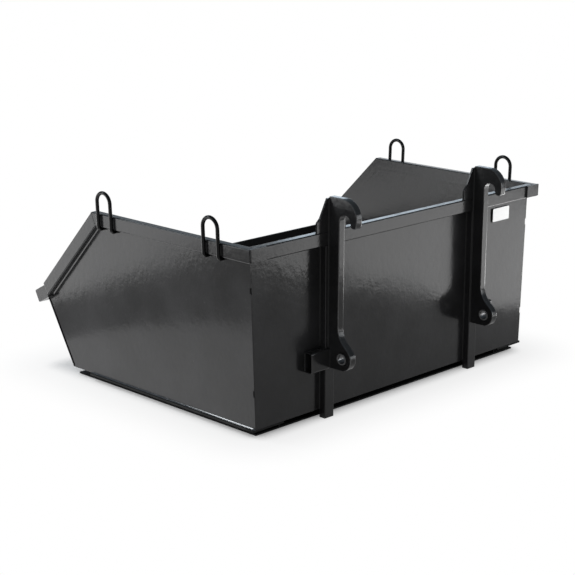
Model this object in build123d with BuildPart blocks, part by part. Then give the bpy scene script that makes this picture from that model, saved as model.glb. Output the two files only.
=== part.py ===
from build123d import *
from math import acos, atan2, cos, radians, sin, tan
import os

os.makedirs("parts", exist_ok=True)

# Wheel loader container: a welded steel bin with coupler hooks on its back wall.
# Millimetres. X runs across the bin, Y from the hooks to the tipping lip, Z up from the ground.
# Left is the -X side, as seen from the loader. "Out" is the distance behind the back wall's outer face.

# Bin body
body_width = 2400.0  # over the gables, at their lower edges
body_height = 1050.0  # top of the skids to the top of the rim
floor_length = 1637.0  # outer face of the back wall to the foot of the front wall
front_height = 399.0  # rise of the front wall
front_run = 215.0  # how far the front wall leans forward over that rise
gable_lean = 2.0  # degrees
plate = 6.0  # walls and gables
floor_thickness = 8.0
notch_depth = 8.0  # notches in the gables' rear edges
notch_height = 38.0
notch_low = 212.0  # middles of the two notches
notch_high = 803.0
seam = 0.3  # gap at a welded seam
tube_bend = 1.75  # outer corner radius of a tube, in wall thicknesses

# Rim tube and rear corner plates
rim_width = 50.0
rim_height = 80.0
rim_wall = 4.0
rim_slope = 45.3  # degrees, the run down to the lip
corner_width = 116.0
corner_height = 75.0  # down from the rim's top
corner_inset = 4.0  # from the gable rim's outer face
corner_thickness = 12.0

# Tipping lip
lip_depth = 112.0
lip_height = 80.0
lip_wall = 5.0
lip_outside = 46.0  # how far the lip stands out in front of the front wall
cap_thickness = 5.0
slope_foot = 11.5  # the sloped rim's lower edge, up the back of the lip

# Posts: channels with their open side against the back wall, as deep as the rim stands out
post_width = 74.0
post_wall = 7.0
post_radius = 5.0
post_spacing = 1304.0

# Hook plates: "out" is from the wall, "up" from the skids and "rise" from the rim's top
hook_thickness = 45.0
hook_offset = 7.0  # from the middle of a post toward the middle of the bin
hook_rise = 200.0
hook_reach = 254.0  # the nose's furthest point
hook_front = 124.0  # front edge at the throat
seat_radius = 40.0  # coupler pin seat
seat_rise = 69.0
tip_rise = 41.0
tip_width = 36.0
tip_rounding = 0.46  # of the tip's width
nose_radius = 110.0
nose_sweep = 13.0  # degrees that the nose arc runs below level
waist_out = 120.5  # where the front edge meets the flare
waist_above_eye = 120.0
waist_radius = 130.0
eye_out = 150.0
eye_up = 326.0
eye_radius = 70.0

# Pin bushes
bush_diameter = 68.0
bush_bore = 50.0
bush_proud = 4.0
bush_clearance = 0.2

# Backing plates behind the hooks, standing on the rim
backing_thickness = 12.0
backing_drop = 10.0  # below the hook plate's top
backing_head = 13.0  # beyond each face of the hook plate, at the top
backing_knee = 68.5  # where the slanted edge turns out
backing_foot = 95.0  # at the toe
backing_knee_up = 84.0  # above the rim
backing_toe_up = 60.0
backing_radius = 50.0
toe_radius = 8.0

# Box brackets beside the eyes
bracket_height = 120.0
bracket_depth = 60.0
bracket_wall = 6.0
bracket_below_eye = 16.0  # its middle, below the eye's
bracket_reach = 127.0  # beyond the post's outer side

# Lifting eyes: bars that stand against the rim, with feet bent in under it
bar_diameter = 22.0
loop_width = 140.0  # over the legs
loop_rise = 147.0  # above the rim
loop_rear = 248.0  # from the back wall to the middle of the rear loop
loop_front = 139.0  # from the middle of the front loop to the rim's front corner
loop_clearance = 0.2

# Skids
shoe_thickness = 10.0
shoe_width = 190.0
shoe_side_inset = 33.0  # from the gable's foot
shoe_rear_inset = 31.0  # from the back wall
shoe_front_inset = 13.0  # from the foot of the front wall
web_height = 28.0
web_thickness = 8.0
sill_thickness = 12.0
sill_front_inset = 183.0  # from the foot of the front wall
sill_proud = 15.0  # beyond the gable's foot
bearer_width = 80.0
bearer_wall = 4.0
bearer_spacing = 740.0

# Worked out from the sizes above
base = shoe_thickness + web_height + sill_thickness
half_width = body_width / 2
lean = radians(gable_lean)
eighth = radians(45)  # halfway round a square bend
rise = 1 / cos(lean)  # length along a gable for each unit of height
overhang = rim_width - plate
front_angle = atan2(front_height, front_run)
wall_up = (cos(front_angle), sin(front_angle))  # along the front wall, in Y and Z
wall_out = (sin(front_angle), -cos(front_angle))  # square to it, away from the bin
wall_head = (floor_length + front_run, front_height)
lip_inside = lip_depth - lip_outside
lip_radius = tube_bend * lip_wall


def from_head(out, up):
    # A point in Y and Z, measured from the front wall's head square to the wall and along it.
    forward = wall_head[0] + wall_out[0] * out + wall_up[0] * up
    height = wall_head[1] + wall_out[1] * out + wall_up[1] * up
    return forward, height


lip_low = from_head(-lip_inside, 0)
lip_tip = from_head(lip_outside, lip_height)
front_reach = lip_tip[0] - lip_radius * (wall_up[0] + wall_out[0] - 1)
back = (hook_reach - front_reach) / 2  # Y of the back wall's outer face, with the middle of the part at 0
rim_low = body_height - rim_height
post_x = -post_spacing / 2
post_depth = overhang
hook_x = post_x + hook_offset

# The left gable's plane: forward, up along the gable, and into the bin
gable_plane = Plane((-half_width, back, base), x_dir=(0, 1, 0), z_dir=(cos(lean), 0, sin(lean)))
gable_top = body_height * rise
gable_rim_low = gable_top - rim_height
slope_low = from_head(-lip_inside, slope_foot)
slope = radians(rim_slope)
miter_low = slope_low[0] - (gable_rim_low - slope_low[1] * rise) / tan(slope)
miter_high = miter_low + rim_height * tan(slope / 2)


def gable_point(forward, up, inward=0):
    return gable_plane.from_local_coords((forward, up, inward))


def gable_direction(forward, up):
    return gable_point(forward, up) - gable_point(0, 0)


def export(name, piece):
    piece.part.label = name
    export_step(piece.part, f"parts/{name}.step")


def export_both_sides(name, left):
    # Writes a left piece and its mirror image on the right.
    with BuildPart() as right:
        mirror(left.part, about=Plane.YZ)
    export(f"left_{name}", left)
    export(f"right_{name}", right)


def tube_section(width, height, wall):
    RectangleRounded(width, height, tube_bend * wall)
    RectangleRounded(width - 2 * wall, height - 2 * wall, (tube_bend - 1) * wall, mode=Mode.SUBTRACT)


def inner_half(up):
    # Half the clear width between the gables at a height above the skids.
    return half_width + up * tan(lean) - plate * rise


# Floor plate, between the walls and the gables
floor_front = floor_length - plate * wall_out[0] - seam
with BuildPart() as floor_plate:
    with BuildSketch(Plane.XY.offset(base)):
        with Locations((0, back + (plate + seam + floor_front) / 2)):
            Rectangle(2 * (inner_half(0) - seam), floor_front - plate - seam)
    extrude(amount=floor_thickness)
export("floor_plate", floor_plate)

# Back wall, wider at the top as the gables lean out
with BuildPart() as back_wall:
    with BuildSketch(Plane((0, back, base), x_dir=(1, 0, 0), z_dir=(0, -1, 0))):
        foot = inner_half(0) - seam
        head = inner_half(rim_low) - seam
        Polygon((-foot, 0), (foot, 0), (head, rim_low), (-head, rim_low), align=None)
    extrude(amount=-plate)
export("back_wall", back_wall)

# Front wall, leaning forward from the floor to the lip
front_plane = Plane(
    (0, back + floor_length, base), x_dir=(1, 0, 0), z_dir=(0, -wall_out[0], -wall_out[1])
)
front_length = front_height / sin(front_angle)
with BuildPart() as front_wall:
    with BuildSketch(front_plane):
        foot = inner_half(0) - seam
        head = inner_half(front_height) - seam
        Polygon((-foot, 0), (foot, 0), (head, front_length), (-head, front_length), align=None)
    extrude(amount=plate)
export("front_wall", front_wall)

# Gables, notched twice where their rear edges meet the back wall
lip_seam = from_head(0, -seam)
lip_corner = from_head(-lip_inside - seam, -seam)
slope_seam = from_head(-lip_inside - seam, slope_foot)
with BuildPart() as gable:
    with BuildSketch(gable_plane):
        with BuildLine():
            Polyline(
                (0, 0),
                (floor_length, 0),
                (lip_seam[0], lip_seam[1] * rise),
                (lip_corner[0], lip_corner[1] * rise),
                (slope_seam[0], slope_seam[1] * rise),
                (miter_low, gable_rim_low),
                (0, gable_rim_low),
                close=True,
            )
        make_face()
        with Locations((notch_depth / 2, notch_low), (notch_depth / 2, notch_high)):
            Rectangle(notch_depth, notch_height, mode=Mode.SUBTRACT)
    extrude(amount=plate)
export_both_sides("gable", gable)

# Level rim tubes on the gables, mitred at the front
miter_plane = Plane(
    gable_point(miter_low, gable_rim_low),
    x_dir=gable_plane.z_dir,
    z_dir=gable_direction(cos(slope / 2), -sin(slope / 2)),
)
rim_middle = (plate - overhang) / 2
with BuildPart() as gable_rim:
    rim_start = gable_point(-overhang, gable_top - rim_height / 2, rim_middle)
    with BuildSketch(Plane(rim_start, x_dir=gable_plane.z_dir, z_dir=gable_plane.x_dir)):
        tube_section(rim_width, rim_height, rim_wall)
    extrude(amount=overhang + miter_high)
    split(bisect_by=miter_plane, keep=Keep.BOTTOM)
export_both_sides("gable_rim", gable_rim)

# Sloped rim tubes, from the mitre down to the back of the lip
lip_back_plane = Plane((0, back + lip_low[0], base + lip_low[1]), z_dir=(0, -wall_out[0], -wall_out[1]))
with BuildPart() as slope_rim:
    along = gable_direction(cos(slope), -sin(slope))
    square = gable_direction(sin(slope), cos(slope))
    slope_start = gable_point(miter_low, gable_rim_low, rim_middle) + square * (rim_height / 2)
    with BuildSketch(Plane(slope_start, x_dir=gable_plane.z_dir, z_dir=along)):
        tube_section(rim_width, rim_height, rim_wall)
    extrude(amount=gable_top / sin(slope))
    extrude(faces().sort_by(Axis(slope_start, along))[0], amount=rim_height)
    split(bisect_by=miter_plane, keep=Keep.TOP)
    split(bisect_by=lip_back_plane, keep=Keep.TOP)
export_both_sides("slope_rim", slope_rim)

# Back rim tube, between the gable rims
with BuildPart() as back_rim:
    rim_reach = inner_half(body_height)
    with BuildSketch(Plane((-rim_reach, back, base), x_dir=(0, 1, 0), z_dir=(1, 0, 0))):
        with Locations((rim_middle, body_height - rim_height / 2)):
            tube_section(rim_width, rim_height, rim_wall)
    extrude(amount=2 * rim_reach)
    for way in (1, -1):
        end = (way * (inner_half(0) - seam), back, base)
        split(bisect_by=Plane(end, z_dir=(-way * cos(lean), 0, sin(lean))), keep=Keep.TOP)
export("back_rim", back_rim)

# Corner plates that close the gable rims at the rear
with BuildPart() as corner_plate:
    with BuildSketch(Plane((0, back - overhang, base), x_dir=(1, 0, 0), z_dir=(0, -1, 0))):
        corner_low = body_height - corner_height
        low_edge = corner_inset - (half_width + corner_low * tan(lean) + overhang * rise)
        high_edge = corner_inset - (half_width + body_height * tan(lean) + overhang * rise)
        Polygon(
            (low_edge, corner_low),
            (low_edge + corner_width, corner_low),
            (high_edge + corner_width, body_height),
            (high_edge, body_height),
            align=None,
        )
    extrude(amount=corner_thickness)
export_both_sides("corner_plate", corner_plate)

# Tipping lip: a tube along the front wall's head, with a cap at each end
lip_center = from_head(lip_outside - lip_depth / 2, lip_height / 2)
lip_half = half_width + lip_center[1] * tan(lean) + overhang * rise
lip_end = Plane(
    (-lip_half, back + lip_center[0], base + lip_center[1]),
    x_dir=(0, wall_out[0], wall_out[1]),
    z_dir=(1, 0, 0),
)
with BuildPart() as front_lip:
    with BuildSketch(lip_end.offset(cap_thickness)):
        tube_section(lip_depth, lip_height, lip_wall)
    extrude(amount=2 * (lip_half - cap_thickness))
export("front_lip", front_lip)

with BuildPart() as lip_cap:
    with BuildSketch(lip_end):
        RectangleRounded(lip_depth, lip_height, lip_radius)
    extrude(amount=cap_thickness)
export_both_sides("lip_cap", lip_cap)

# Posts on the back wall, from the ground to the rim
with BuildPart() as post:
    with BuildSketch(Plane.XY):
        with Locations((post_x, back - post_depth / 2)):
            Rectangle(post_width, post_depth)
        fillet(vertices().group_by(Axis.Y)[0], radius=post_radius)
        with Locations((post_x, back - (post_depth - post_wall) / 2)):
            Rectangle(post_width - 2 * post_wall, post_depth - post_wall, mode=Mode.SUBTRACT)
    extrude(amount=base + rim_low)
export_both_sides("post", post)

# Hook plates: the throat opens downward, and the flare at the foot holds the pin eye
hook_top = body_height + hook_rise
seat_out = hook_front + seat_radius
seat_up = body_height + seat_rise
tip_up = body_height + tip_rise
nose_out = hook_reach - nose_radius
nose_up = hook_top - nose_radius
nose_angle = radians(nose_sweep)
nose_end = (nose_out + nose_radius * cos(nose_angle), nose_up - nose_radius * sin(nose_angle))
tip_out = nose_end[0] - (nose_end[1] - tip_up) * tan(nose_angle)
waist_up = eye_up + waist_above_eye
waist_angle = atan2(waist_up - eye_up, waist_out - eye_out)
waist_distance = ((waist_up - eye_up) ** 2 + (waist_out - eye_out) ** 2) ** 0.5
flare_angle = waist_angle - acos(eye_radius / waist_distance)
flare_foot = (eye_out + eye_radius * cos(flare_angle), eye_up + eye_radius * sin(flare_angle))
eye_low = eye_up - eye_radius
hook_side = Plane((hook_x + hook_thickness / 2, back, base), x_dir=(0, -1, 0), z_dir=(-1, 0, 0))
with BuildPart() as hook_plate:
    with BuildSketch(hook_side):
        with BuildLine():
            Line((overhang, hook_top), (nose_out, hook_top))
            ThreePointArc(
                (nose_out, hook_top),
                (nose_out + nose_radius * cos(eighth), nose_up + nose_radius * sin(eighth)),
                nose_end,
            )
            Polyline(
                nose_end,
                (tip_out, tip_up),
                (tip_out - tip_width, tip_up),
                (seat_out + seat_radius, seat_up),
            )
            ThreePointArc(
                (seat_out + seat_radius, seat_up),
                (seat_out, seat_up + seat_radius),
                (hook_front, seat_up),
            )
            Polyline((hook_front, seat_up), (waist_out, waist_up), flare_foot)
            ThreePointArc(flare_foot, (eye_out + eye_radius, eye_up), (eye_out, eye_low))
            Polyline((eye_out, eye_low), (overhang, eye_low), (overhang, hook_top))
        make_face()
        fillet([v for v in vertices() if abs(v.Y - tip_up) < seam], radius=tip_rounding * tip_width)
        fillet([v for v in vertices() if abs(v.Y - waist_up) < seam], radius=waist_radius)
        with Locations((eye_out, eye_up)):
            Circle(bush_diameter / 2 + bush_clearance, mode=Mode.SUBTRACT)
    extrude(amount=hook_thickness)
export_both_sides("hook_plate", hook_plate)

# Pin bushes, a little proud of the hook plates on both faces
with BuildPart() as pin_bush:
    with BuildSketch(hook_side.offset(-bush_proud)):
        with Locations((eye_out, eye_up)):
            Circle(bush_diameter / 2)
            Circle(bush_bore / 2, mode=Mode.SUBTRACT)
    extrude(amount=hook_thickness + 2 * bush_proud)
export_both_sides("pin_bush", pin_bush)

# Backing plates that brace the hooks sideways on top of the rim, with flared toes
with BuildPart() as hook_backing:
    with BuildSketch(Plane((hook_x, back - overhang, base), x_dir=(1, 0, 0), z_dir=(0, -1, 0))):
        half = hook_thickness / 2
        knee_up = body_height + backing_knee_up
        toe_up = body_height + backing_toe_up
        head_up = hook_top - backing_drop
        for way in (1, -1):
            Polygon(
                (0, body_height),
                (way * (half + backing_foot), body_height),
                (way * (half + backing_foot), toe_up),
                (way * (half + backing_knee), knee_up),
                (way * (half + backing_head), head_up),
                (0, head_up),
                align=None,
            )
        fillet([v for v in vertices() if abs(v.Y - knee_up) < seam], radius=backing_radius)
        fillet([v for v in vertices() if abs(v.Y - toe_up) < seam], radius=toe_radius)
    extrude(amount=-backing_thickness)
export_both_sides("hook_backing", hook_backing)

# Box brackets: tube stubs coped over the posts, open at the outer end
bracket_inner = hook_x - hook_thickness / 2
bracket_outer = post_x - post_width / 2 - bracket_reach
with BuildPart() as eye_bracket:
    with BuildSketch(Plane((bracket_outer, back, base), x_dir=(0, -1, 0), z_dir=(-1, 0, 0))):
        with Locations((seam + bracket_depth / 2, eye_up - bracket_below_eye)):
            tube_section(bracket_depth, bracket_height, bracket_wall)
    extrude(amount=bracket_outer - bracket_inner)
    with BuildSketch(Plane.XY.offset(base)):
        with Locations((post_x, back - post_depth / 2)):
            Rectangle(post_width, post_depth)
    extrude(amount=rim_low, mode=Mode.SUBTRACT)
export_both_sides("eye_bracket", eye_bracket)

# Lifting eyes: round bars bent over the gable rims' outer faces, with feet that reach the gables
bar_radius = bar_diameter / 2
leg = (loop_width - bar_diameter) / 2
bar_out = overhang + bar_radius + loop_clearance
foot_bend = tube_bend * rim_wall + loop_clearance + bar_radius
foot_up = gable_rim_low - loop_clearance - bar_radius
bend_middle = foot_bend * (1 - cos(eighth))
crown = gable_top + loop_rise - bar_radius


def loop_foot(forward):
    # A leg's lower end, from the gable out to where the leg stands against the rim.
    start = gable_point(forward, foot_up, -loop_clearance)
    bend = gable_point(forward, foot_up, foot_bend - bar_out)
    middle = gable_point(forward, foot_up + bend_middle, bend_middle - bar_out)
    end = gable_point(forward, foot_up + foot_bend, -bar_out)
    Line(start, bend)
    ThreePointArc(bend, middle, end)
    return end


for place, forward in (("rear", loop_rear), ("front", miter_high - loop_front)):
    with BuildPart() as lifting_eye:
        with BuildLine() as bar_path:
            shoulders = [gable_point(forward + way * leg, crown - leg, -bar_out) for way in (-1, 1)]
            Line(loop_foot(forward - leg), shoulders[0])
            ThreePointArc(shoulders[0], gable_point(forward, crown, -bar_out), shoulders[1])
            Line(loop_foot(forward + leg), shoulders[1])
        with BuildSketch(Plane(bar_path.line @ 0, z_dir=bar_path.line % 0)):
            Circle(bar_radius)
        sweep(path=bar_path.line)
    export_both_sides(f"{place}_lifting_eye", lifting_eye)

# Side skids: a sill under each gable, an inset web and a shoe on the ground
sill_edge = -(half_width + sill_proud)
shoe_edge = shoe_side_inset - half_width
shoe_inner = shoe_edge + shoe_width
shoe_rear = back + shoe_rear_inset
shoe_front = back + floor_length - shoe_front_inset
shoe_length = shoe_front - shoe_rear
sill_front = back + floor_length - sill_front_inset
with BuildPart() as skid_sill:
    with BuildSketch(Plane.XY.offset(base - sill_thickness)):
        with Locations(((sill_edge + shoe_inner) / 2, (back + sill_front) / 2)):
            Rectangle(shoe_inner - sill_edge, sill_front - back)
    extrude(amount=sill_thickness)
export_both_sides("skid_sill", skid_sill)

with BuildPart() as skid_web:
    with BuildSketch(Plane.XY.offset(shoe_thickness)):
        with Locations((shoe_inner - web_thickness / 2, (shoe_rear + sill_front) / 2)):
            Rectangle(web_thickness, sill_front - shoe_rear)
    extrude(amount=web_height)
export_both_sides("skid_web", skid_web)

with BuildPart() as skid_shoe:
    with BuildSketch(Plane.XY):
        with Locations((shoe_edge + shoe_width / 2, shoe_rear + shoe_length / 2)):
            Rectangle(shoe_width, shoe_length)
    extrude(amount=shoe_thickness)
export_both_sides("skid_shoe", skid_shoe)

# Cross skids at the rear and the front, between the side shoes
rear_middle = shoe_rear + shoe_width / 2
front_middle = shoe_front - shoe_width / 2
for place, middle in (("rear", rear_middle), ("front", front_middle)):
    with BuildPart() as cross_shoe:
        with BuildSketch(Plane.XY):
            with Locations((0, middle)):
                Rectangle(-2 * shoe_inner, shoe_width)
        extrude(amount=shoe_thickness)
    export(f"{place}_skid_shoe", cross_shoe)

    with BuildPart() as cross_web:
        with BuildSketch(Plane.XY.offset(shoe_thickness)):
            with Locations((0, middle)):
                Rectangle(-2 * shoe_inner, web_thickness)
        extrude(amount=base - shoe_thickness)
    export(f"{place}_skid_web", cross_web)

# Floor bearers between the cross webs
bearer_start = rear_middle + web_thickness / 2
bearer_height = base - shoe_thickness
with BuildPart() as floor_bearer:
    with BuildSketch(Plane((0, bearer_start, 0), x_dir=(-1, 0, 0), z_dir=(0, 1, 0))):
        with Locations((bearer_spacing / 2, shoe_thickness + bearer_height / 2)):
            tube_section(bearer_width, bearer_height, bearer_wall)
    extrude(amount=front_middle - rear_middle - web_thickness)
export_both_sides("floor_bearer", floor_bearer)
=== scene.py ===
import math

import bmesh
import bpy
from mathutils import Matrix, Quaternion, Vector, noise


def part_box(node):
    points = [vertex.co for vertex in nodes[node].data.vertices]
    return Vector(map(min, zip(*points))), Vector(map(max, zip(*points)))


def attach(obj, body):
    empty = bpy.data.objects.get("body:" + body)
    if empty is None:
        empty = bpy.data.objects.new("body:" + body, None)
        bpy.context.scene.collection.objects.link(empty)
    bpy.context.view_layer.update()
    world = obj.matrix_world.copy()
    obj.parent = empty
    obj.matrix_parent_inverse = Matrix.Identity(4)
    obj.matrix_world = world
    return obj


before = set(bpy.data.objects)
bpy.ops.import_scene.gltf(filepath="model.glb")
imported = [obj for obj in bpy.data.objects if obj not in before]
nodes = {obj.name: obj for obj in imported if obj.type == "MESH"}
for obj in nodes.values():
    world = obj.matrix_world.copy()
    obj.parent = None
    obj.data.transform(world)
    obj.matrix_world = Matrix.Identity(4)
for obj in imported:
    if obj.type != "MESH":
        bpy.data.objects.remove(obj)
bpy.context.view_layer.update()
scene = bpy.context.scene
print("frame loaded,", len(nodes), "solids")


# a socket that takes part in plain arithmetic
class Wire:
    def __init__(self, sheet, socket):
        self.sheet = sheet
        self.socket = socket

    def maths(self, operation, first, second):
        return self.sheet.add("ShaderNodeMath", {"operation": operation}, {0: first, 1: second})

    def __add__(self, other):
        return self.maths("ADD", self, other)

    def __radd__(self, other):
        return self.maths("ADD", other, self)

    def __sub__(self, other):
        return self.maths("SUBTRACT", self, other)

    def __rsub__(self, other):
        return self.maths("SUBTRACT", other, self)

    def __mul__(self, other):
        return self.maths("MULTIPLY", self, other)

    def __rmul__(self, other):
        return self.maths("MULTIPLY", other, self)

    def out(self, name):
        return Wire(self.sheet, self.socket.node.outputs[name])


# one finish: a material, or the world, and the nodes that make it
class Finish:
    def __init__(self, name, world=None):
        self.material = world or bpy.data.materials.new(name)
        self.material.use_nodes = True
        self.tree = self.material.node_tree
        self.shader = self.tree.nodes["Background" if world else "Principled BSDF"]

    def plug(self, socket, value):
        if isinstance(value, Wire):
            self.tree.links.new(value.socket, socket)
        else:
            socket.default_value = value

    def add(self, kind, settings, sockets):
        node = self.tree.nodes.new(kind)
        for name, value in settings.items():
            setattr(node, name, value)
        for name, value in sockets.items():
            self.plug(node.inputs[name], value)
        shown = [s for s in node.outputs if s.enabled]
        return Wire(self, shown[0])

    def set(self, **values):
        for name, value in values.items():
            self.plug(self.shader.inputs[name], value)

    def place(self):
        return self.add("ShaderNodeTexCoord", {}, {}).out("Object")

    # how far the surface faces along one axis of the world
    def facing(self, axis):
        normal = self.add("ShaderNodeNewGeometry", {}, {}).out("Normal")
        return self.add("ShaderNodeSeparateXYZ", {}, {0: normal}).out(axis)

    # grain is the noise's scale, detail and roughness
    def cloud(self, where, grain):
        scale, detail, roughness = grain
        sockets = {"Vector": where, "Scale": scale, "Detail": detail, "Roughness": roughness}
        return self.add("ShaderNodeTexNoise", {}, sockets).out("Fac")

    # a smooth step from none at the first limit to one at the second
    def ramp(self, value, limits):
        low, high = limits
        sockets = {"Value": value, "From Min": low, "From Max": high, "To Min": 0.0, "To Max": 1.0}
        return self.add("ShaderNodeMapRange", {"clamp": True, "interpolation_type": "SMOOTHSTEP"}, sockets)

    def mix(self, factor, first, second):
        return self.add("ShaderNodeMix", {"data_type": "RGBA"}, {"Factor": factor, "A": first, "B": second})

    def vector(self, operation, *values):
        return self.add("ShaderNodeVectorMath", {"operation": operation}, dict(enumerate(values)))

    # one for what the camera, a mirror or a glass sees, none for the light that falls on things
    def seen(self):
        path = self.add("ShaderNodeLightPath", {}, {})
        return path.out("Is Camera Ray") + path.out("Is Glossy Ray") + path.out("Is Transmission Ray")

    # relief is the bump's strength and its height in metres
    def bump(self, height, relief, under=None):
        strength, distance = relief
        sockets = {"Height": height, "Strength": strength, "Distance": distance}
        if under is not None:
            sockets["Normal"] = under
        return self.add("ShaderNodeBump", {}, sockets)


def grey(level, tint=1.0):
    return (level, level, level * tint, 1.0)


# glossy black paint on plate and tube: faint clouds, waves, dents and orange peel,
# with a thin film of dust where it lies level
paintLook = {
    "deep": grey(0.0125, 1.03),
    "pale": grey(0.0185, 1.05),
    "dust": grey(0.060, 1.06),
    "gloss": 0.13,
    "ior": 1.24,
    "clouds": (2.6, 5.0, 0.55),
    "cloudTone": (0.34, 0.68),
    "cloudGloss": (0.30, 0.75),
    "glossSpread": 0.08,
    "specks": (55.0, 6.0, 0.7),
    "speckLimits": (0.56, 0.74),
    "speckTone": 0.08,
    "speckGloss": 0.12,
    "film": 0.10,
    "filmLevel": (0.6, 0.98),
    "filmClouds": (7.0, 5.0, 0.65),
    "filmLimits": (0.30, 0.72),
    "waves": (2.3, 1.0, 0.55),
    "waveRelief": (0.22, 0.010),
    "dents": (34.0, 2.0, 0.55),
    "dentStretch": (1.0, 1.0, 0.8),
    "dentRelief": (0.25, 0.0030),
    "peel": (420.0, 2.0, 0.55),
    "peelRelief": (0.25, 0.00010),
}
# deeper black on the lifting eyes and on the white plate's pad
loopLook = {**paintLook, "deep": grey(0.0030, 1.03), "pale": grey(0.0055, 1.05), "ior": 1.20}


def blackPaint(name, look):
    f = Finish(name)
    where = f.place()
    clouds = f.cloud(where, look["clouds"])
    specks = f.ramp(f.cloud(where, look["specks"]), look["speckLimits"])
    level = f.ramp(f.facing("Z"), look["filmLevel"])
    film = level * f.ramp(f.cloud(where, look["filmClouds"]), look["filmLimits"]) * look["film"]
    body = f.mix(f.ramp(clouds, look["cloudTone"]), look["deep"], look["pale"])
    body = f.mix(specks * look["speckTone"] + film, body, look["dust"])
    stretched = f.vector("MULTIPLY", where, look["dentStretch"])
    bumps = f.bump(f.cloud(where, look["waves"]), look["waveRelief"])
    bumps = f.bump(f.cloud(stretched, look["dents"]), look["dentRelief"], bumps)
    bumps = f.bump(f.cloud(where, look["peel"]), look["peelRelief"], bumps)
    gloss = look["gloss"] + f.ramp(clouds, look["cloudGloss"]) * look["glossSpread"]
    gloss = gloss + specks * look["speckGloss"] + film
    f.set(**{"Base Color": body, "Roughness": gloss, "Normal": bumps, "IOR": look["ior"]})
    return f.material


# flat black undercoat on the skids and bearers under the bin, deeper black than the bin's paint: partly a
# real coat, partly painted shade for the dark under and along the bin's foot
coatAndShadeLook = {
    "dark": grey(0.0035, 1.02),
    "pale": grey(0.0075, 1.0),
    "gloss": 0.62,
    "glossSpread": 0.2,
    "sheen": 0.12,
    "patches": (9.0, 5.0, 0.55),
    "patchLimits": (0.36, 0.66),
    "grit": (160.0, 4.0, 0.6),
    "relief": (0.3, 0.0004),
}
# a still deeper coat without sheen on the seams along the gables' front edges: a painted shadow line where
# those edges fall into shade
noseShadowLook = {**coatAndShadeLook, "dark": grey(0.0015, 1.02), "pale": grey(0.0025, 1.0), "sheen": 0.0}


def undercoatAndShade(name, look):
    f = Finish(name)
    where = f.place()
    patches = f.ramp(f.cloud(where, look["patches"]), look["patchLimits"])
    f.set(
        **{
            "Base Color": f.mix(patches, look["dark"], look["pale"]),
            "Roughness": look["gloss"] + patches * look["glossSpread"],
            "Normal": f.bump(f.cloud(where, look["grit"]), look["relief"]),
            "Specular IOR Level": look["sheen"],
        }
    )
    return f.material


# rubbed paint on the folded and sawn edges; its lighter patches are partly wear and partly painted
# highlight
edgeLook = {
    "paint": grey(0.014, 1.05),
    "rubbedAndHighlight": grey(0.034, 1.08),
    "gloss": 0.18,
    "ior": 1.5,
    "rubAndHighlight": (26.0, 6.0, 0.7),
    "rubAndHighlightLimits": (0.50, 0.72),
    "rubGloss": 0.16,
    "peel": (300.0, 3.0, 0.55),
    "relief": (0.2, 0.0002),
}
# smoother and paler along the sills, with the same lighter patches of wear and painted highlight
sillLook = {**edgeLook, "paint": grey(0.020, 1.06), "rubbedAndHighlight": grey(0.026, 1.06), "gloss": 0.12, "ior": 1.6}


def edgePaint(name, look):
    f = Finish(name)
    where = f.place()
    rubAndHighlight = f.ramp(f.cloud(where, look["rubAndHighlight"]), look["rubAndHighlightLimits"])
    f.set(
        **{
            "Base Color": f.mix(rubAndHighlight, look["paint"], look["rubbedAndHighlight"]),
            "Roughness": look["gloss"] + rubAndHighlight * look["rubGloss"],
            "Normal": f.bump(f.cloud(where, look["peel"]), look["relief"]),
            "IOR": look["ior"],
        }
    )
    return f.material


# painted weld beads, rippled along their length
weldLook = {
    "paint": grey(0.005, 1.03),
    "pale": grey(0.010, 1.04),
    "gloss": 0.30,
    "glossSpread": 0.14,
    "ior": 1.22,
    "clouds": (40.0, 5.0, 0.55),
    "cloudLimits": (0.35, 0.7),
    "ripples": 150.0,
    "waver": 1.4,
    "rippleDetail": 1.0,
    "relief": (0.5, 0.0010),
}


def weldPaint(name, look):
    f = Finish(name)
    sockets = {
        "Vector": f.add("ShaderNodeUVMap", {"uv_map": "seam"}, {}),
        "Scale": look["ripples"] / math.pi,
        "Distortion": look["waver"],
        "Detail": look["rippleDetail"],
    }
    ripples = f.add("ShaderNodeTexWave", {"wave_type": "BANDS", "bands_direction": "X"}, sockets).out("Fac")
    clouds = f.ramp(f.cloud(f.place(), look["clouds"]), look["cloudLimits"])
    f.set(
        **{
            "Base Color": f.mix(clouds, look["paint"], look["pale"]),
            "Roughness": look["gloss"] + clouds * look["glossSpread"],
            "Normal": f.bump(ripples, look["relief"]),
            "IOR": look["ior"],
        }
    )
    return f.material


# turned steel of the pin bushes: bare in the bore, dull on the end faces
bushLook = {
    "steel": grey(0.10, 1.03),
    "dark": grey(0.025, 1.0),
    "face": grey(0.12, 1.03),
    "faceLimits": (0.70, 0.95),
    "gloss": 0.22,
    "mist": (60.0, 5.0, 0.65),
    "mistLimits": (0.36, 0.62),
    "mistCover": 0.55,
    "mistGloss": 0.2,
    "rings": 9000.0,
    "relief": (0.12, 0.0002),
}


def turnedSteel(name, look, middle):
    f = Finish(name)
    where = f.place()
    spoke = f.vector("MULTIPLY", f.vector("SUBTRACT", where, middle), (0.0, 1.0, 1.0))  # square to the axis
    radius = f.vector("LENGTH", spoke).out("Value")
    swing = f.add("ShaderNodeMath", {"operation": "SINE"}, {0: radius * look["rings"]})
    rings = swing * 0.5 + 0.5  # from none to one
    mist = f.ramp(f.cloud(where, look["mist"]), look["mistLimits"])
    across = f.facing("X")
    face = f.ramp(across * across, look["faceLimits"])
    f.set(
        **{
            "Base Color": f.mix(face, f.mix(mist, look["steel"], look["dark"]), look["face"]),
            "Metallic": (1.0 - mist * look["mistCover"]) * (1.0 - face),
            "Roughness": look["gloss"] + mist * look["mistGloss"],
            "Normal": f.bump(rings, look["relief"]),
        }
    )
    return f.material


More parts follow.
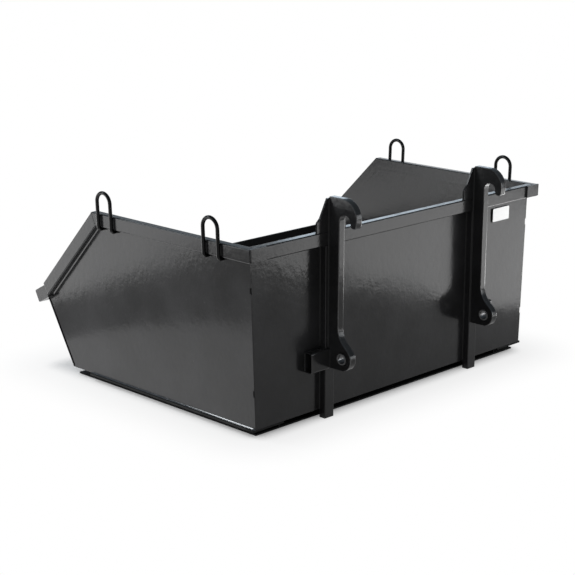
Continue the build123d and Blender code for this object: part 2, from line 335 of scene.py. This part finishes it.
# white enamel of the bare plate on the back wall
enamelLook = {
    "white": grey(0.80, 0.99),
    "shade": grey(0.66, 0.98),
    "gloss": 0.50,
    "sheen": 0.15,
    "grime": (48.0, 6.0, 0.65),
    "grimeLimits": (0.52, 0.80),
    "grimeTone": 0.4,
    "grimeGloss": 0.2,
    "peel": (600.0, 2.0, 0.55),
    "relief": (0.15, 0.0001),
}


def whiteEnamel(name, look):
    f = Finish(name)
    where = f.place()
    grime = f.ramp(f.cloud(where, look["grime"]), look["grimeLimits"])
    f.set(
        **{
            "Base Color": f.mix(grime * look["grimeTone"], look["white"], look["shade"]),
            "Roughness": look["gloss"] + grime * look["grimeGloss"],
            "Normal": f.bump(f.cloud(where, look["peel"]), look["relief"]),
            "Specular IOR Level": look["sheen"],
        }
    )
    return f.material


plainPaint = blackPaint("blackPaint", paintLook)
# the skid coat's deep black is partly painted shade under the bin
skidCoatAndShade = undercoatAndShade("skidCoatAndShade", coatAndShadeLook)
# the nose coat is a painted shadow line along the gables' front edges
noseShadowCoat = undercoatAndShade("noseShadowCoat", noseShadowLook)
loopPaint = blackPaint("loopPaint", loopLook)
# lighter patches on the rounded edges and the slope's bead: partly wear, partly painted highlight
edgeWearAndHighlight = edgePaint("rubbedEdgeAndHighlight", edgeLook)
sillFinish = edgePaint("sillEdge", sillLook)
weldFinish = weldPaint("paintedWeld", weldLook)
enamel = whiteEnamel("whiteEnamel", enamelLook)
print("finishes made")

# every edge of plate and tube gets a small round, so that it catches the light
edgeRound = {
    "plate": 0.0010,
    "bracket": 0.0018,
    "hook": 0.0050,
    "tube": 0.0012,
    "bush": 0.0020,
    "segments": 3,
    "sharp": 40.0,
    "flat": 0.4,
    "merge": 0.00002,
}
sameFinish = -1  # the round keeps the finish of the faces beside it
ownFinish = 1  # the round takes the piece's second finish


def roundEdges(piece, width, edgeSlot):
    merge = piece.modifiers.new("merge", "WELD")
    merge.merge_threshold = edgeRound["merge"]
    flat = piece.modifiers.new("flat", "DECIMATE")
    flat.decimate_type = "DISSOLVE"
    flat.angle_limit = math.radians(edgeRound["flat"])
    bevel = piece.modifiers.new("edgeRound", "BEVEL")
    bevel.width = width
    bevel.segments = edgeRound["segments"]
    bevel.limit_method = "ANGLE"
    bevel.angle_limit = math.radians(edgeRound["sharp"])
    bevel.material = edgeSlot
    even = piece.modifiers.new("evenShade", "WEIGHTED_NORMAL")
    even.keep_sharp = True


# face, edge and width of the round, by a word in the node's name
nodeFinish = {
    # skids and bearers: deep black coat, partly painted shade under the bin
    "skid": (skidCoatAndShade, skidCoatAndShade, "plate"),
    "bearer": (skidCoatAndShade, skidCoatAndShade, "plate"),
    "lifting_eye": (loopPaint, loopPaint, "plate"),
    # hooks, brackets, rims and lip take the edge finish on their rounds, its lighter patches partly painted
    # highlight
    "hook_plate": (plainPaint, edgeWearAndHighlight, "hook"),
    "bracket": (plainPaint, edgeWearAndHighlight, "bracket"),
    "rim": (plainPaint, edgeWearAndHighlight, "tube"),
    "lip": (plainPaint, edgeWearAndHighlight, "tube"),
    "other": (plainPaint, plainPaint, "plate"),
}


def paintNode(name, piece):
    piece.data.materials.clear()
    if name.endswith("pin_bush"):
        low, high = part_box(name)
        piece.data.materials.append(turnedSteel(name + "Steel", bushLook, (low + high) / 2))
        roundEdges(piece, edgeRound["bush"], sameFinish)
        return
    kind = next((word for word in nodeFinish if word in name), "other")
    face, edge, width = nodeFinish[kind]
    piece.data.materials.append(face)
    piece.data.materials.append(edge)
    roundEdges(piece, edgeRound[width], ownFinish)


for name, piece in nodes.items():
    paintNode(name, piece)
print("solids painted")


def addPiece(name, bm, finish):
    mesh = bpy.data.meshes.new(name)
    bm.to_mesh(mesh)
    bm.free()
    mesh.materials.append(finish)
    piece = bpy.data.objects.new(name, mesh)
    scene.collection.objects.link(piece)
    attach(piece, "root")
    return piece


# weld beads: rings of points along a seam, from the face on one side round to the face on the other
beadLook = {
    "step": 0.010,
    "fewest": 2,
    "round": 18,
    "arc": 4,
    "bulge": 0.18,
    "flush": 0.05,
    "sink": 0.2,
    "uneven": 0.12,
    "grain": 70.0,
    "end": 0.6,
}
beadRuns = {}


def mirrored(v):
    return Vector((-v.x, v.y, v.z))


def addRun(group, rings, leg, bulge, closed=False):
    beadRuns.setdefault(group, []).append((rings, leg, bulge, closed))


def addPair(group, rings, leg, bulge, closed=False):
    addRun(group, rings, leg, bulge, closed)
    addRun(group, [tuple(mirrored(v) for v in ring) for ring in rings], leg, bulge, closed)


# first and second point away from the seam along its two faces; crown is where the bead bulges to
def seamRings(start, end, first, second, crown):
    out = crown or (first + second).normalized()
    count = max(beadLook["fewest"], round((end - start).length / beadLook["step"]))
    return [(start.lerp(end, i / count), first, second, out) for i in range(count + 1)]


# a seam on the left side and the same one on the right
def weld(group, start, end, first, second, leg, crown=None, bulge=beadLook["bulge"]):
    rings = seamRings(Vector(start), Vector(end), first, second, crown)
    addPair(group, rings, leg, bulge)


# a seam that runs from the left side to the right in one piece
def weldAcross(group, start, first, second, leg, crown=None, bulge=beadLook["bulge"]):
    start = Vector(start)
    rings = seamRings(start, mirrored(start), first, second, crown)
    addRun(group, rings, leg, bulge)


def weldRound(group, middle, axis, radius, leg):
    side = axis.orthogonal().normalized()
    other = axis.cross(side)
    rings = []
    for i in range(beadLook["round"]):
        turn = 2 * math.pi * i / beadLook["round"]
        spoke = side * math.cos(turn) + other * math.sin(turn)
        rings.append((middle + spoke * radius, spoke, axis, (spoke + axis).normalized()))
    addPair(group, rings, leg, beadLook["bulge"], True)


# the run's rings as points of the mesh; spots gets each point's place along and round the bead
def beadLoops(bm, run, uneven, spots):
    rings, leg, bulge, closed = run
    arc = beadLook["arc"]
    loops = []
    along = 0.0
    for i, (point, first, second, out) in enumerate(rings):
        size = leg * (1 + uneven * noise.noise(point * beadLook["grain"]))
        if not closed and i in (0, len(rings) - 1):
            size *= beadLook["end"]
        if i:
            along += (point - rings[i - 1][0]).length
        loop = []
        for k in range(arc + 1):
            s = k / arc
            spot = point + size * (first * (1 - s) + second * s + out * (bulge * math.sin(math.pi * s)))
            loop.append(bm.verts.new(spot))
        loop.append(bm.verts.new(point - out * (size * beadLook["sink"])))
        for k, vert in enumerate(loop):
            spots[vert] = (along, k / (arc + 1) * leg)
        loops.append(loop)
    return loops


# faces between the loops and at both ends, hard edged round the ends and along the plates
def skinBead(bm, loops, closed):
    steps = len(loops) if closed else len(loops) - 1
    for i in range(steps):
        now = loops[i]
        after = loops[(i + 1) % len(loops)]
        for k in range(len(now)):
            n = (k + 1) % len(now)
            bm.faces.new((now[k], now[n], after[n], after[k]))
        for k in (0, beadLook["arc"]):
            bm.edges.get((now[k], after[k])).smooth = False
    ends = () if closed else (loops[0], loops[-1])
    for loop in ends:
        for edge in bm.faces.new(loop).edges:
            edge.smooth = False


def makeBeads(group, runs, finish, uneven):
    bm = bmesh.new()
    layer = bm.loops.layers.uv.new("seam")
    spots = {}
    for run in runs:
        closed = run[-1]
        skinBead(bm, beadLoops(bm, run, uneven, spots), closed)
    bmesh.ops.recalc_face_normals(bm, faces=bm.faces[:])
    for face in bm.faces:
        face.smooth = True
        for corner in face.loops:
            corner[layer].uv = spots[corner.vert]
    return len(addPiece(group, bm, finish).data.vertices)


toLeft = Vector((-1, 0, 0))
toRight = Vector((1, 0, 0))
toLoader = Vector((0, -1, 0))
toLip = Vector((0, 1, 0))
up = Vector((0, 0, 1))
down = Vector((0, 0, -1))

# the left gable's plane, in metres forward of the back wall, up the gable and into the bin
binShape = {
    "half": 1.2,
    "lean": math.radians(2.0),
    "plate": 0.006,
    "floor": 0.008,
    "frontFoot": 1.637,
    "frontHead": (1.852, 0.399),
    "mitreLow": (1.2749, 0.9706),
    "mitreHigh": (1.3083, 1.0506),
    "slopeFoot": (1.7994, 0.4407),
    "overhang": 0.044,
}
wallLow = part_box("back_wall")[0]
rimLow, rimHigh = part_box("back_rim")
gableUp = Vector((-math.sin(binShape["lean"]), 0, math.cos(binShape["lean"])))
gableIn = Vector((math.cos(binShape["lean"]), 0, math.sin(binShape["lean"])))
gableOut = -gableIn
gableFoot = Vector((-binShape["half"], wallLow.y, wallLow.z))


def onGable(forward, height, inward=0.0):
    return gableFoot + toLip * forward + gableUp * height + gableIn * inward


frontFoot = onGable(binShape["frontFoot"], 0)
frontHead = onGable(*binShape["frontHead"])
frontRun = binShape["frontHead"][0] - binShape["frontFoot"]
frontSlant = Vector((0, frontRun, binShape["frontHead"][1])).normalized()
frontOut = Vector((0, frontSlant.z, -frontSlant.y))
rimRear = onGable(0, binShape["mitreLow"][1])
mitreLow = onGable(*binShape["mitreLow"])
mitreHigh = onGable(*binShape["mitreHigh"])
mitreAcross = (mitreHigh - mitreLow).cross(gableIn).normalized()
slopeFoot = onGable(*binShape["slopeFoot"])
rimSlant = (slopeFoot - mitreLow).normalized()
rimUnder = rimSlant.cross(gableIn)

# posts, hooks and brackets on the back wall
coupler = {"post": 0.005, "hook": 0.006, "bracket": 0.005, "face": 0.003, "groove": 0.006, "backing": 0.006}


def couplerWelds(sizes):
    postLow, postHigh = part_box("left_post")
    hookLow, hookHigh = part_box("left_hook_plate")
    boxLow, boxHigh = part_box("left_eye_bracket")
    backLow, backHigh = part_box("left_hook_backing")
    wall = wallLow.y
    face = postLow.y
    leg = sizes["post"]
    weld("postWelds", (postLow.x, wall, wallLow.z), (postLow.x, wall, boxLow.z), toLeft, toLoader, leg)
    weld("postWelds", (postLow.x, wall, boxHigh.z), (postLow.x, wall, rimLow.z), toLeft, toLoader, leg)
    weld("postWelds", (postHigh.x, wall, wallLow.z), (postHigh.x, wall, rimLow.z), toRight, toLoader, leg)
    leg = sizes["hook"]
    weld("hookWelds", (hookLow.x, face, boxHigh.z), (hookLow.x, face, backHigh.z), toLeft, toLoader, leg)
    weld("hookWelds", (hookHigh.x, face, hookLow.z), (hookHigh.x, face, backHigh.z), toRight, toLoader, leg)
    weld("hookWelds", (hookLow.x, face, backHigh.z), (hookHigh.x, face, backHigh.z), up, toLip, leg)
    leg = sizes["bracket"]
    groove = sizes["groove"]
    wide = leg + groove / 2
    for height, away in ((boxHigh.z, up), (boxLow.z, down)):
        sunk = height - away.z * groove
        weld("bracketWelds", (boxLow.x, wall, sunk), (postLow.x, wall, sunk), away, toLoader, wide)
        weld("bracketWelds", (postLow.x, wall, height), (postLow.x, face, height), away, toLeft, leg)
        weld("bracketWelds", (postLow.x, face, height), (hookLow.x, face, height), away, toLoader, leg)
    weld("bracketWelds", (hookLow.x, face, boxHigh.z), (hookLow.x, boxLow.y, boxHigh.z), up, toLeft, leg)
    start = (hookLow.x, boxLow.y, hookLow.z)
    weld("bracketWelds", start, (hookLow.x, boxLow.y, boxHigh.z), toLeft, toLoader, sizes["face"])
    leg = sizes["backing"]
    top = rimHigh.z
    weld("backingWelds", (backLow.x, backHigh.y, top), (backHigh.x, backHigh.y, top), up, toLip, leg)


# rim tubes on the wall and the gables, their mitres and the corner plates
rimSeams = {"under": 0.005, "mitre": 0.004, "corner": 0.004, "tubeRound": 0.007}


def rimWelds(sizes):
    wall = wallLow.y
    postLow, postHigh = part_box("left_post")
    leg = sizes["under"]
    weld("rimWelds", (rimLow.x, wall, rimLow.z), (postLow.x, wall, rimLow.z), down, toLoader, leg)
    weldAcross("rimWelds", (postHigh.x, wall, rimLow.z), down, toLoader, leg)
    weld("rimWelds", rimRear, mitreLow, -gableUp, gableOut, leg)
    # the slope's bead takes the edge finish, whose lighter patches are partly painted highlight along the
    # seam
    weld("slopeWelds", mitreLow, slopeFoot, rimUnder, gableOut, leg)
    leg = sizes["mitre"]
    out = gableOut * binShape["overhang"]
    flush = beadLook["flush"]
    weld("rimWelds", mitreLow + out, mitreHigh + out, mitreAcross, -mitreAcross, leg, gableOut, flush)
    crown = (gableUp - rimUnder).normalized()
    ridge = gableIn * sizes["tubeRound"]
    inner = mitreHigh + gableIn * binShape["plate"] - ridge
    weld("rimWelds", mitreHigh + out + ridge, inner, -toLip, rimSlant, leg, crown)
    plateLow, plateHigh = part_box("left_corner_plate")
    foot = Vector((plateHigh.x, rimLow.y, plateLow.z))
    head = foot + gableUp * (plateHigh.z - plateLow.z)
    weld("rimWelds", foot, head, toRight, toLoader, sizes["corner"])


# filled seams between the rim tubes and the plates, flush with the bin's inner faces
flushSeams = {"leg": 0.012, "bulge": 0.012, "lap": 0.02}


def flushWelds(sizes):
    leg = sizes["leg"]
    bulge = sizes["bulge"]
    lap = sizes["lap"]
    inset = gableIn * binShape["plate"]
    bend = mitreLow + inset
    weld("flushWelds", rimRear + inset, bend + toLip * lap, gableUp, -gableUp, leg, gableIn, bulge)
    weld("flushWelds", bend - rimSlant * lap, slopeFoot + inset, rimUnder, -rimUnder, leg, gableIn, bulge)
    top = mitreHigh - (mitreHigh - mitreLow).normalized() * lap
    weld("flushWelds", bend, top + inset, mitreAcross, -mitreAcross, leg, gableIn, bulge)
    corner = (rimLow.x, wallLow.y + binShape["plate"], rimLow.z)
    weldAcross("flushWelds", corner, up, down, leg, toLip, bulge)


# plates of the bin to each other, the lip and the sills
binSeams = {
    "inside": 0.006,
    "lip": 0.006,
    "nose": 0.009,
    "noseSpread": 2.4,
    "noseBulge": 0.9,
    "sill": 0.007,
    "sillBulge": 0.02,
}


def binWelds(sizes):
    plate = binShape["plate"]
    floor = binShape["floor"]
    leg = sizes["inside"]
    corner = onGable(plate, floor, plate)
    weld("binWelds", corner, onGable(plate, binShape["mitreLow"][1], plate), toLip, gableIn, leg)
    foot = onGable(binShape["frontFoot"], 0, plate) - frontOut * plate
    head = onGable(*binShape["frontHead"], plate) - frontOut * plate
    weld("binWelds", foot, head, -frontOut, gableIn, leg)
    weld("binWelds", corner, onGable(binShape["frontFoot"], floor, plate), gableUp, gableIn, leg)
    weldAcross("binWelds", corner, up, toLip, leg)
    front = foot + frontSlant * (floor / frontSlant.z)
    weldAcross("binWelds", front, frontSlant, toLoader, leg)
    weldAcross("lipWelds", frontHead, -frontSlant, frontOut, sizes["lip"])
    # the nose bead is spread wide and takes the near black coat: a painted shadow line along the gable's
    # front edge
    crown = (frontOut - gableIn).normalized()
    spread = -frontOut * sizes["noseSpread"]
    weld("noseShadowWelds", frontFoot, frontHead, spread, gableIn, sizes["nose"], crown, sizes["noseBulge"])
    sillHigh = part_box("left_skid_sill")[1]
    front = (gableFoot.x, sillHigh.y, gableFoot.z)
    weld("sillWelds", gableFoot, front, gableUp, toLeft, sizes["sill"], bulge=sizes["sillBulge"])


# both sides of each leg of the lifting eyes on the rim's face, and round their feet on the gable
loopSeams = {
    "places": (0.248, 1.1693),
    "leg": 0.059,
    "bar": 0.011,
    "beside": 0.0075,
    "size": 0.006,
    "ends": 0.010,
    "foot": 0.004,
}


def loopWelds(sizes):
    low = binShape["mitreLow"][1] + sizes["ends"]
    high = binShape["mitreHigh"][1] - sizes["ends"]
    for place in sizes["places"]:
        for way in (-1, 1):
            middle = place + way * sizes["leg"]
            for side in (-1, 1):
                forward = middle + side * sizes["beside"]
                start = onGable(forward, low, -binShape["overhang"])
                end = onGable(forward, high, -binShape["overhang"])
                weld("loopWelds", start, end, toLip * side, gableOut, sizes["size"])
            foot = onGable(middle, binShape["mitreLow"][1] - sizes["bar"])
            weldRound("loopWelds", foot, gableOut, sizes["bar"], sizes["foot"])


couplerWelds(coupler)
rimWelds(rimSeams)
flushWelds(flushSeams)
binWelds(binSeams)
loopWelds(loopSeams)
beadFinish = {
    "flushWelds": plainPaint,
    "sillWelds": sillFinish,
    "slopeWelds": edgeWearAndHighlight,
    "noseShadowWelds": noseShadowCoat,
}
points = 0
for group, runs in beadRuns.items():
    uneven = 0.0 if group == "sillWelds" else beadLook["uneven"]
    points += makeBeads(group, runs, beadFinish.get(group, weldFinish), uneven)
print(len(beadRuns), "groups of weld beads,", points, "points")

# bare white plate on a black pad on the back wall
blankPlate = {
    "left": 0.8685,
    "right": 1.0325,
    "low": 0.9045,
    "high": 0.9885,
    "thick": 0.002,
    "corner": 0.006,
    "cornerSteps": 6,
    "edge": 0.0005,
    "padThick": 0.008,
    "padDrop": 0.004,
}


# a slab with round corners that stands off the back wall from one depth to another
def makeSlab(name, settings, low, near, far, finish):
    radius = settings["corner"]
    steps = settings["cornerSteps"]
    middles = (
        (settings["right"] - radius, settings["high"] - radius),
        (settings["left"] + radius, settings["high"] - radius),
        (settings["left"] + radius, low + radius),
        (settings["right"] - radius, low + radius),
    )
    bm = bmesh.new()
    outline = []
    for quarter, (x, z) in enumerate(middles):
        for i in range(steps + 1):
            turn = math.pi / 2 * (quarter + i / steps)
            spot = (x + radius * math.cos(turn), wallLow.y - near, z + radius * math.sin(turn))
            outline.append(bm.verts.new(spot))
    sheet = bm.faces.new(outline)
    raised = bmesh.ops.extrude_face_region(bm, geom=[sheet])["geom"]
    for vert in [v for v in raised if isinstance(v, bmesh.types.BMVert)]:
        vert.co.y = wallLow.y - far
    bmesh.ops.recalc_face_normals(bm, faces=bm.faces[:])
    roundEdges(addPiece(name, bm, finish), settings["edge"], sameFinish)


def makePlate(settings):
    pad = settings["padThick"]
    low = settings["low"]
    makeSlab("platePad", settings, low - settings["padDrop"], 0.0, pad, loopPaint)
    makeSlab("blankPlate", settings, low, pad, pad + settings["thick"], enamel)


makePlate(blankPlate)
print("bare plate made")

# camera at the photograph's angle
view = {
    "place": (-6.8243, -6.7121, 3.0484),
    "down": 15.0,
    "turn": -45.0,
    "lens": 97.63,
    "film": 36.0,
    "far": 400.0,
}
camera = bpy.data.objects.new("camera", bpy.data.cameras.new("camera"))
camera.data.lens = view["lens"]
camera.data.sensor_width = view["film"]
camera.data.clip_end = view["far"]
camera.location = view["place"]
camera.rotation_euler = (math.radians(90 - view["down"]), 0.0, math.radians(view["turn"]))
scene.collection.objects.link(camera)
scene.camera = camera

# round floor with a low wall at its far edge, and the world
studio = {
    "floor": 150.0,
    "backdrop": 31.0,
    "backdropSides": 64,
    "floorShade": grey(0.94),
    "floorGrain": (0.6, 2.0, 0.55),
    "floorGloss": 0.85,
    "floorGlossSpread": 0.02,
    "floorSheen": 0.1,
    "white": grey(1.0),
    "world": 0.50,
    "sky": grey(1.0),
    "mirroredSky": (0.62, 0.77, 0.90, 1.0),
    "footprint": (1.095, 0.8675, 1.0),
    "middle": (-0.015, 0.1075, 0.0),
    "shadowReach": 0.17,
    "shadowTail": 0.60,
    "shadowShare": 0.733,
    "shadowLift": 0.04,
}


# matt pale floor that keeps the object's shadow and is plain white further out
def floorFinish(settings):
    f = Finish("paleFloor")
    where = f.place()
    mottle = f.cloud(where, settings["floorGrain"])
    f.set(
        **{
            "Base Color": settings["floorShade"],
            "Roughness": mottle * settings["floorGlossSpread"] + settings["floorGloss"],
            "Specular IOR Level": settings["floorSheen"],
        }
    )
    away = f.vector("ABSOLUTE", f.vector("SUBTRACT", where, settings["middle"]))
    beyond = f.vector("MAXIMUM", f.vector("SUBTRACT", away, settings["footprint"]), (0.0, 0.0, 0.0))
    distance = f.vector("LENGTH", beyond).out("Value")
    lift = settings["shadowLift"]
    near = f.ramp(distance, (0.0, settings["shadowReach"])) * settings["shadowShare"]
    far = f.ramp(distance, (0.0, settings["shadowTail"])) * (1.0 - settings["shadowShare"])
    share = (near + far) * (1.0 - lift) + lift
    white = f.add("ShaderNodeEmission", {}, {"Color": settings["white"], "Strength": 1.0})
    lit = Wire(f, f.shader.outputs["BSDF"])
    mixed = f.add("ShaderNodeMixShader", {}, {0: share * f.seen(), 1: lit, 2: white})
    f.plug(f.tree.nodes["Material Output"].inputs["Surface"], mixed)
    return f.material


def makeFloor(settings):
    count = settings["backdropSides"]
    turns = [2 * math.pi * i / count for i in range(count)]
    ring = [(settings["floor"] * math.cos(turn), settings["floor"] * math.sin(turn)) for turn in turns]
    corners = [(x, y, z) for z in (0.0, settings["backdrop"]) for x, y in ring]
    walls = [(i, (i + 1) % count, (i + 1) % count + count, i + count) for i in range(count)]
    mesh = bpy.data.meshes.new("floor")
    mesh.from_pydata(corners, [], [tuple(range(count))] + walls)
    mesh.materials.append(floorFinish(settings))
    floor = bpy.data.objects.new("floor", mesh)
    scene.collection.objects.link(floor)


# even light from all round, a little bluer where the paint mirrors it
def makeWorld(settings):
    scene.world = bpy.data.worlds.new("studio")
    f = Finish("studio", scene.world)
    inMirror = f.add("ShaderNodeLightPath", {}, {}).out("Is Glossy Ray")
    f.set(Color=f.mix(inMirror, settings["sky"], settings["mirroredSky"]), Strength=settings["world"])


# boxes stand round the bin and face their aim; panels lie on the floor and face up
cool = (0.93, 0.97, 1.0)
blue = (0.72, 0.86, 1.0)
plain = (1.0, 1.0, 1.0)
lamps = {
    "leftBox": {
        "at": (-5.5, 4.0, 1.3),
        "aim": (-1.2, -0.3, 1.3),
        "size": (2.4, 2.5),
        "watts": 94.0,
        "tint": cool,
    },
    "rightBox": {
        "at": (4.45, -5.55, 1.4),
        "aim": (0.0, -1.0, 1.4),
        "size": (1.9, 1.9),
        "watts": 79.0,
        "tint": cool,
    },
    "sillBox": {
        "at": (-2.62, 2.9, 3.8),
        "aim": (-1.2, -0.6, 0.06),
        "size": (1.2, 1.2),
        "watts": 63.0,
        "tint": cool,
    },
    "rimBox": {
        "at": (4.26, 2.737, 2.6),
        "aim": (0.01, -1.413, 1.1),
        "size": (2.4, 0.9),
        "watts": 18.0,
        "tint": blue,
    },
    "edgePanel": {"at": (3.3, -1.15, 0.035), "size": (2.8, 0.4), "watts": 48.0, "tint": plain},
    "leftPanel": {"at": (-4.2, 4.05, 0.03), "size": (4.0, 4.0), "watts": 185.0, "tint": plain},
    "backPanel": {"at": (-1.2, 4.05, 0.03), "size": (2.0, 4.0), "watts": 93.0, "tint": plain},
    "rightPanel": {
        "at": (3.546, -3.486, 0.03),
        "size": (4.0, 3.62),
        "watts": 227.0,
        "tint": plain,
        "spin": -8.0,
    },
    "gablePanel": {
        "at": (-1.443, 0.25, 0.03),
        "size": (2.28, 2.0),
        "watts": 18.9,
        "tint": plain,
        "spin": 45.0,
        "shape": "ELLIPSE",
    },
}


def areaLight(name, settings):
    lamp = bpy.data.lights.new(name, "AREA")
    lamp.shape = settings.get("shape", "RECTANGLE")
    lamp.size, lamp.size_y = settings["size"]
    lamp.energy = settings["watts"]
    lamp.color = settings["tint"]
    light = bpy.data.objects.new(name, lamp)
    light.location = settings["at"]
    forward = Vector(settings["aim"]) - Vector(settings["at"]) if "aim" in settings else up
    spin = Quaternion(up, math.radians(settings.get("spin", 0.0)))
    light.rotation_euler = (spin @ forward.to_track_quat("-Z", "Y")).to_euler()
    light.visible_camera = False
    scene.collection.objects.link(light)


makeFloor(studio)
for name, settings in lamps.items():
    areaLight(name, settings)
makeWorld(studio)
scene.view_settings.view_transform = "Standard"
print("studio ready")
